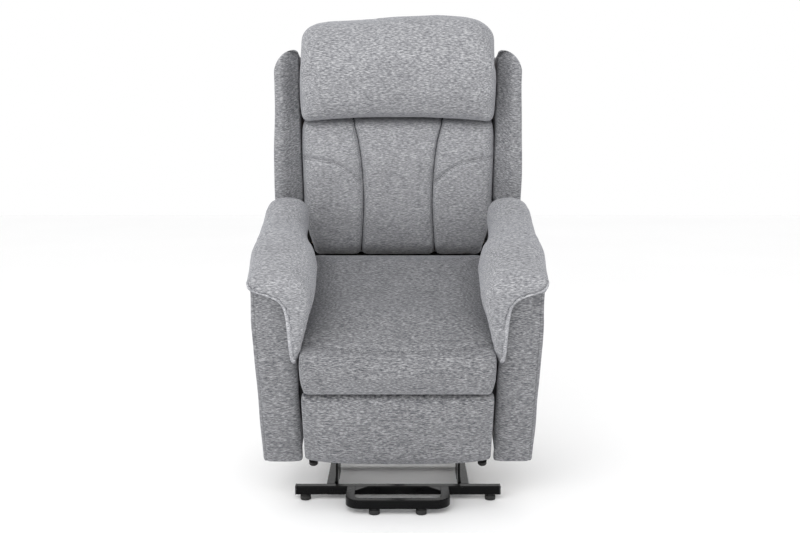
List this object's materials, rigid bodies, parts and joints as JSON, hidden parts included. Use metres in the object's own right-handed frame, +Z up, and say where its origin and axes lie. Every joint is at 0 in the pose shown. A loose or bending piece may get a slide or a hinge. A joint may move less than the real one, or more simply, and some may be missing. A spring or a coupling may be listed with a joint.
{
  "type": "lift recliner chair",
  "caption": "Upholstered armchair on a powered steel lift base that raises and tips it forward, with reclining winged back, folding footrest and a handset in a side pocket.",
  "frame": {"origin": "on the floor, in the middle of the plan of the lifted chair", "axes": "+Z up, +X to the right of someone facing the chair, +Y towards the back of the chair"},
  "size_m": [0.765, 0.8189, 1.3652],
  "materials": {
    "base_steel": "satin black powder coat",
    "mechanism_steel": "semi-matt black paint",
    "black_rubber": "matt",
    "black_plastic": "fine moulded texture",
    "actuator_tube": "anodised dark grey",
    "bright_rod": "polished",
    "spring_wire": "drawn wire",
    "plywood": "sawn",
    "upholstery": "flecked grey chenille",
    "pocket_fabric": "flecked grey chenille",
    "elastic_belt": "ribbed elastic",
    "grey_keys": "silk"
  },
  "bodies": {
    "base": {"base_front_crossbar": "base_steel", "base_front_loop": "base_steel", "base_rail_left": "base_steel", "base_rail_right": "base_steel", "base_middle_crossbar": "base_steel", "base_rear_crossbar": "base_steel", "base_gussets": "base_steel", "base_feet": "black_rubber", "base_end_caps": "black_plastic", "lift_arm_brackets": "base_steel", "rear_link_brackets": "base_steel", "lift_actuator_bracket": "base_steel"},
    "lift_arms": {"lift_arm_left": "mechanism_steel", "lift_arm_right": "mechanism_steel", "lift_torque_tube": "mechanism_steel"},
    "rear_links": {"rear_link_left": "mechanism_steel", "rear_link_right": "mechanism_steel"},
    "lift_actuator_body": {"lift_actuator_motor": "black_plastic", "lift_actuator_tube": "actuator_tube"},
    "lift_actuator_piston": {"lift_actuator_rod": "bright_rod"},
    "chair": {"cross_tubes": "mechanism_steel", "lift_plate_left": "mechanism_steel", "lift_plate_right": "mechanism_steel", "mechanism_plate_left": "mechanism_steel", "mechanism_plate_right": "mechanism_steel", "lowered_stops": "black_rubber", "seat_frame": "plywood", "seat_springs": "spring_wire", "seat_cushion": "upholstery", "arm_frame_left": "plywood", "arm_frame_right": "plywood", "arm_panel_left": "upholstery", "arm_panel_right": "upholstery", "arm_pad_left": "upholstery", "arm_pad_right": "upholstery", "back_actuator_bracket": "mechanism_steel", "control_box": "black_plastic", "side_pocket": "pocket_fabric"},
    "footrest_main": {"footrest_main_links": "mechanism_steel"},
    "footrest_control": {"footrest_control_links": "mechanism_steel"},
    "footrest_coupler": {"footrest_couplers": "mechanism_steel"},
    "footrest_front": {"footrest_front_links": "mechanism_steel"},
    "footrest": {"footrest_brackets": "mechanism_steel", "footrest_board": "plywood", "footrest_pad": "upholstery"},
    "back": {"back_frame": "plywood", "back_hinge_plates": "mechanism_steel", "back_webbing": "elastic_belt", "back_shell": "upholstery", "back_cushion": "upholstery", "head_pillow": "upholstery", "back_actuator_ears": "mechanism_steel"},
    "back_actuator_body": {"back_actuator_motor": "black_plastic", "back_actuator_tube": "actuator_tube"},
    "back_actuator_piston": {"back_actuator_rod": "bright_rod"},
    "handset": {"handset": "black_plastic"},
    "key_back_up": {"button_back_up": "grey_keys"},
    "key_back_down": {"button_back_down": "grey_keys"},
    "key_lift_up": {"button_lift_up": "grey_keys"},
    "key_lift_down": {"button_lift_down": "grey_keys"}
  },
  "joints": [
    {"name": "lift", "type": "hinge", "parent": "base", "child": "lift_arms", "pos_m": [0, -0.051, 0.105], "axis": [1, 0, 0], "range_deg": [-41.77, 0]},
    {"name": "chair_hinge", "type": "hinge", "parent": "lift_arms", "child": "chair", "pos_m": [0, 0.22882, 0.29891], "axis": [1, 0, 0], "range_deg": [0, 14.79]},
    {"name": "rear_link_hinge", "type": "hinge", "parent": "base", "child": "rear_links", "pos_m": [0, 0.039, 0.118], "axis": [1, 0, 0], "range_deg": [-52.29, 0]},
    {"name": "lift_actuator_hinge", "type": "hinge", "parent": "base", "child": "lift_actuator_body", "pos_m": [0, 0.344, 0.08], "axis": [1, 0, 0], "range_deg": [0, 4.07]},
    {"name": "lift_actuator_stroke", "type": "slide", "parent": "lift_actuator_body", "child": "lift_actuator_piston", "axis": [0, -0.913, 0.408], "range_m": [-0.09689, 0]},
    {"name": "recline", "type": "hinge", "parent": "chair", "child": "back", "pos_m": [0, 0.29301, 0.53008], "axis": [1, 0, 0], "range_deg": [-45, 0]},
    {"name": "back_actuator_hinge", "type": "hinge", "parent": "chair", "child": "back_actuator_body", "pos_m": [0, 0.04857, 0.32697], "axis": [1, 0, 0], "range_deg": [-5.03, 0]},
    {"name": "back_actuator_stroke", "type": "slide", "parent": "back_actuator_body", "child": "back_actuator_piston", "axis": [0, 0.5977, 0.8017], "range_m": [0, 0.04966]},
    {"name": "footrest_swing", "type": "hinge", "parent": "chair", "child": "footrest_main", "pos_m": [0, -0.15023, 0.29863], "axis": [1, 0, 0], "range_deg": [-80, 0]},
    {"name": "footrest_control_hinge", "type": "hinge", "parent": "chair", "child": "footrest_control", "pos_m": [0, -0.11993, 0.31406], "axis": [1, 0, 0], "range_deg": [-80.01, 0]},
    {"name": "footrest_coupler_hinge", "type": "hinge", "parent": "footrest_main", "child": "footrest_coupler", "pos_m": [0, -0.01446, 0.19632], "axis": [1, 0, 0], "range_deg": [0, 80.01]},
    {"name": "footrest_front_hinge", "type": "hinge", "parent": "footrest_main", "child": "footrest_front", "pos_m": [0, -0.01446, 0.19632], "axis": [1, 0, 0], "range_deg": [0, 96.01]},
    {"name": "footrest_panel_hinge", "type": "hinge", "parent": "footrest_front", "child": "footrest", "pos_m": [0, -0.18911, 0.29565], "axis": [1, 0, 0], "range_deg": [-100.01, 0]},
    {"name": "handset_lift_out", "type": "slide", "parent": "chair", "child": "handset", "axis": [0, -0.454, 0.891], "range_m": [0, 0.12]},
    {"name": "press_back_up", "type": "slide", "parent": "handset", "child": "key_back_up", "axis": [1, 0, 0], "range_m": [0, 0.001], "stiffness_N_per_m": 2000, "springref_m": -0.0005},
    {"name": "press_back_down", "type": "slide", "parent": "handset", "child": "key_back_down", "axis": [1, 0, 0], "range_m": [0, 0.001], "stiffness_N_per_m": 2000, "springref_m": -0.0005},
    {"name": "press_lift_up", "type": "slide", "parent": "handset", "child": "key_lift_up", "axis": [1, 0, 0], "range_m": [0, 0.001], "stiffness_N_per_m": 2000, "springref_m": -0.0005},
    {"name": "press_lift_down", "type": "slide", "parent": "handset", "child": "key_lift_down", "axis": [1, 0, 0], "range_m": [0, 0.001], "stiffness_N_per_m": 2000, "springref_m": -0.0005}
  ],
  "couplings": [
    {"joint": "chair_hinge", "follows": "lift", "ratio": -0.35374},
    {"joint": "rear_link_hinge", "follows": "lift", "ratio": 1.2516},
    {"joint": "lift_actuator_hinge", "follows": "lift", "ratio": -0.097142},
    {"joint": "lift_actuator_stroke", "follows": "lift", "m_per_rad": 0.13287},
    {"joint": "back_actuator_hinge", "follows": "recline", "ratio": 0.11166},
    {"joint": "back_actuator_stroke", "follows": "recline", "m_per_rad": -0.063218},
    {"joint": "footrest_control_hinge", "follows": "footrest_swing", "ratio": 1},
    {"joint": "footrest_coupler_hinge", "follows": "footrest_swing", "ratio": -1},
    {"joint": "footrest_front_hinge", "follows": "footrest_swing", "ratio": -1.2},
    {"joint": "footrest_panel_hinge", "follows": "footrest_swing", "ratio": 1.25}
  ]
}
